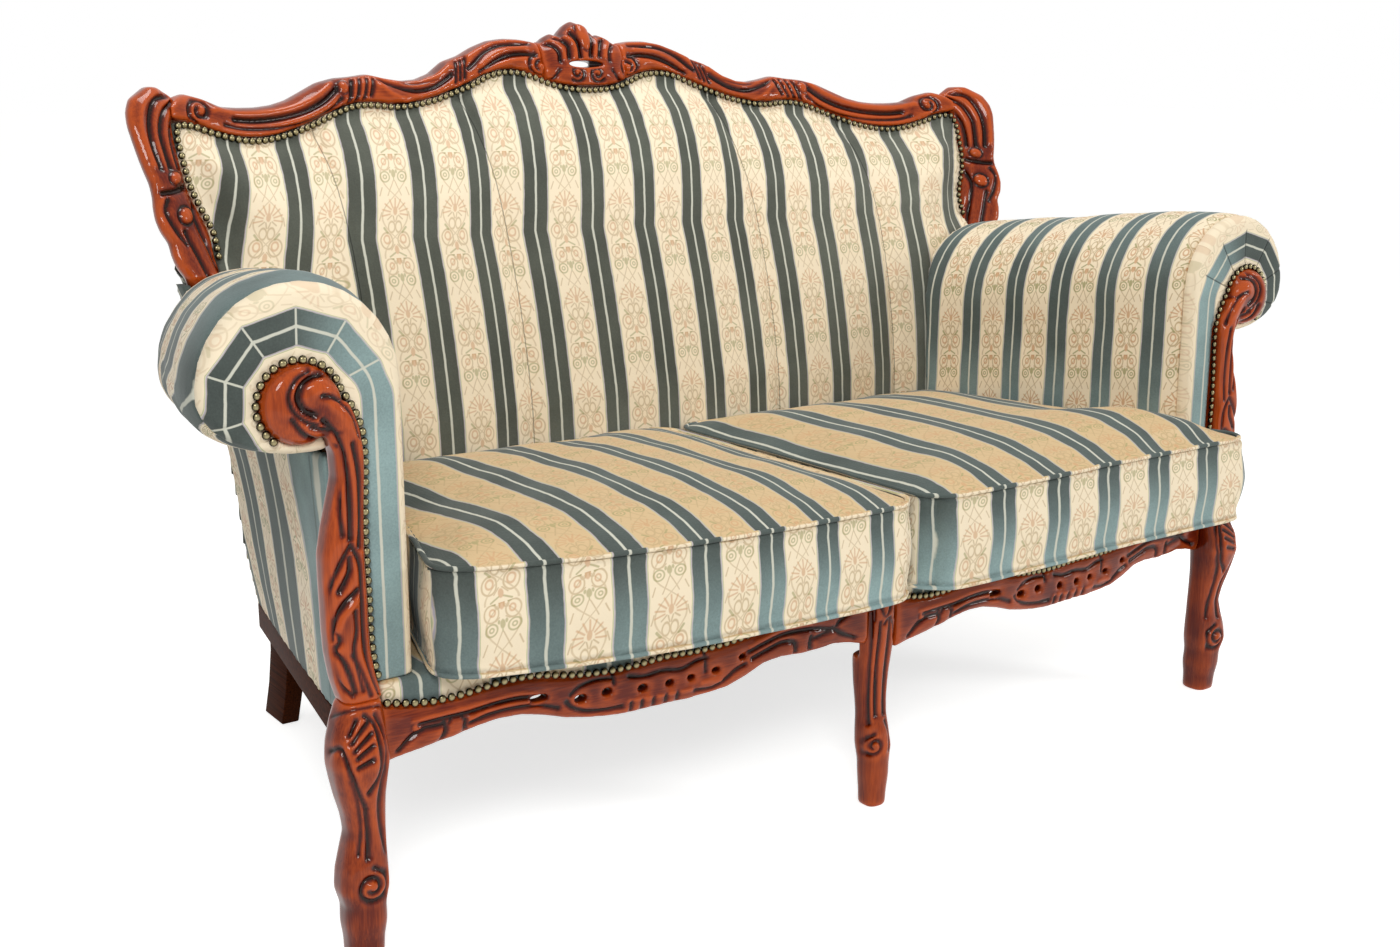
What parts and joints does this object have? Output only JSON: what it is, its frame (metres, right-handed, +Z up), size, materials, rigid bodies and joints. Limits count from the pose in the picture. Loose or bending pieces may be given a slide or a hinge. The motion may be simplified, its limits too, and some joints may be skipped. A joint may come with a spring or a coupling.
{
  "type": "cabriole sofa",
  "caption": "Two-seat settee with a scrolled show-wood frame on cabriole legs, rolled arms, a sprung back pad and loose seat cushions that lift off.",
  "frame": {"origin": "the middle of the footprint of the whole sofa, on the floor", "axes": "+Z is up, +X runs along the sofa to the right as seen from the front, -Y is the front"},
  "size_m": [1.7232, 0.8934, 1.036],
  "materials": {
    "carved_wood": "glossy red-brown stain and polish",
    "plain_wood": "glossy dark red-brown stain",
    "inner_wood": "unfinished, hidden",
    "striped_velvet": "woven brocade and cut velvet stripes",
    "velvet": "striped velvet, pleated",
    "webbing": "woven strap",
    "lining": "thin black lining cloth",
    "brass_nails": "antiqued"
  },
  "bodies": {
    "frame": {"front_leg_left": "carved_wood", "front_leg_right": "carved_wood", "centre_leg": "carved_wood", "rear_leg_left": "plain_wood", "rear_leg_right": "plain_wood", "side_rail_left": "plain_wood", "side_rail_right": "plain_wood", "back_rail": "inner_wood", "front_rail_left": "inner_wood", "front_rail_right": "inner_wood", "seat_bearer": "inner_wood", "corner_block_front_left": "inner_wood", "corner_block_front_right": "inner_wood", "corner_block_rear_left": "inner_wood", "corner_block_rear_right": "inner_wood", "apron_left": "carved_wood", "apron_right": "carved_wood", "seat_strap_1": "webbing", "seat_strap_2": "webbing", "seat_strap_3": "webbing", "seat_strap_4": "webbing", "seat_strap_5": "webbing", "seat_strap_6": "webbing", "seat_strap_7": "webbing", "seat_deck": "striped_velvet", "dust_cover": "lining", "arm_post_left": "carved_wood", "arm_post_right": "carved_wood", "arm_rail_left": "inner_wood", "arm_rail_right": "inner_wood", "arm_pad_left": "striped_velvet", "arm_pad_right": "striped_velvet", "arm_facing_left": "velvet", "arm_facing_right": "velvet", "outside_arm_left": "striped_velvet", "outside_arm_right": "striped_velvet", "back_stile_left": "carved_wood", "back_stile_right": "carved_wood", "crest_rail_left": "carved_wood", "crest_rail_right": "carved_wood", "crest_cartouche": "carved_wood", "back_upright_left": "inner_wood", "back_upright_right": "inner_wood", "back_cross_rail": "inner_wood", "back_pad": "striped_velvet", "outside_back": "striped_velvet", "nail_row_arm_left": "brass_nails", "nail_row_arm_right": "brass_nails", "nail_row_apron_left": "brass_nails", "nail_row_apron_right": "brass_nails", "nail_row_back": "brass_nails"},
    "seat_cushion_left": {"seat_cushion_left": "striped_velvet"},
    "seat_cushion_right": {"seat_cushion_right": "striped_velvet"}
  },
  "joints": [
    {"name": "lift_cushion_left", "type": "slide", "parent": "frame", "child": "seat_cushion_left", "axis": [0, 0, 1], "range_m": [0, 0.3]},
    {"name": "lift_cushion_right", "type": "slide", "parent": "frame", "child": "seat_cushion_right", "axis": [0, 0, 1], "range_m": [0, 0.3]}
  ]
}
